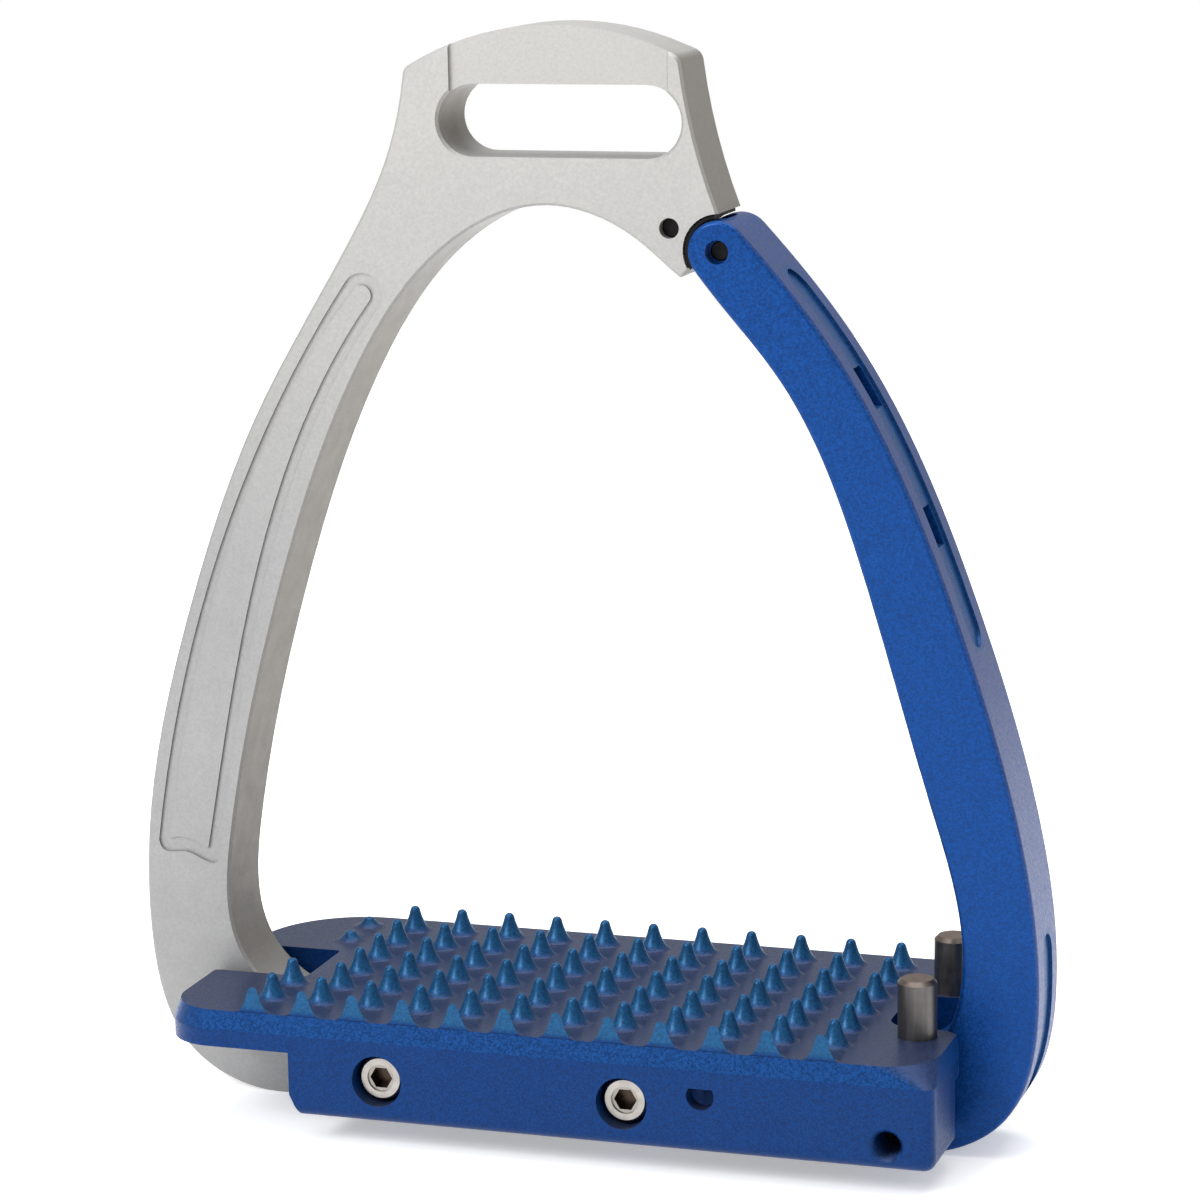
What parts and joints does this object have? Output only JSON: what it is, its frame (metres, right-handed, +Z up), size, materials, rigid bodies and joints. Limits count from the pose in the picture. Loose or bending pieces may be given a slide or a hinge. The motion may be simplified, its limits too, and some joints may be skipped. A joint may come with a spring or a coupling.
{
  "type": "stirrup iron",
  "caption": "Safety release stirrup iron: one-piece frame, spiked footbed and an outer arm that swings out on a hinge.",
  "frame": {"origin": "under the middle of the stirrup's base, at the height of the bar's flat underside", "axes": "+X across the stirrup towards the hinged arm, +Y from its front to its back, +Z up towards the leather slot"},
  "size_m": [0.1415, 0.055, 0.1653],
  "materials": {
    "frame_aluminium": "satin bead-blasted cast aluminium",
    "blue_arm": "metallic blue with fine flake under gloss clearcoat",
    "blue_tread": "metallic blue with fine flake under gloss clearcoat",
    "black_link": "satin black",
    "pin_steel": "ground steel, slightly dulled",
    "pin_black": "blackened steel",
    "screw_steel": "bright stainless steel"
  },
  "bodies": {
    "stirrup": {"frame": "frame_aluminium", "footbed": "blue_tread", "hinge_link": "black_link", "head_pin": "pin_black", "clamp_screws": "screw_steel", "front_guard_pin": "pin_steel", "rear_guard_pin": "pin_steel", "detent_set_screw": "screw_steel", "detent_spring": "screw_steel"},
    "arm": {"release_arm": "blue_arm", "hinge_pin": "pin_black"},
    "ball": {"detent_ball": "screw_steel"}
  },
  "joints": [
    {"name": "arm_hinge", "type": "hinge", "parent": "stirrup", "child": "arm", "pos_m": [0.0232, 0, 0.133], "axis": [0, -1, 0], "range_deg": [0, 50]},
    {"name": "detent_slide", "type": "slide", "parent": "stirrup", "child": "ball", "axis": [0, -1, 0], "range_m": [0, 0.0007], "stiffness_N_per_m": 400, "deforming": ["detent_spring"]}
  ]
}
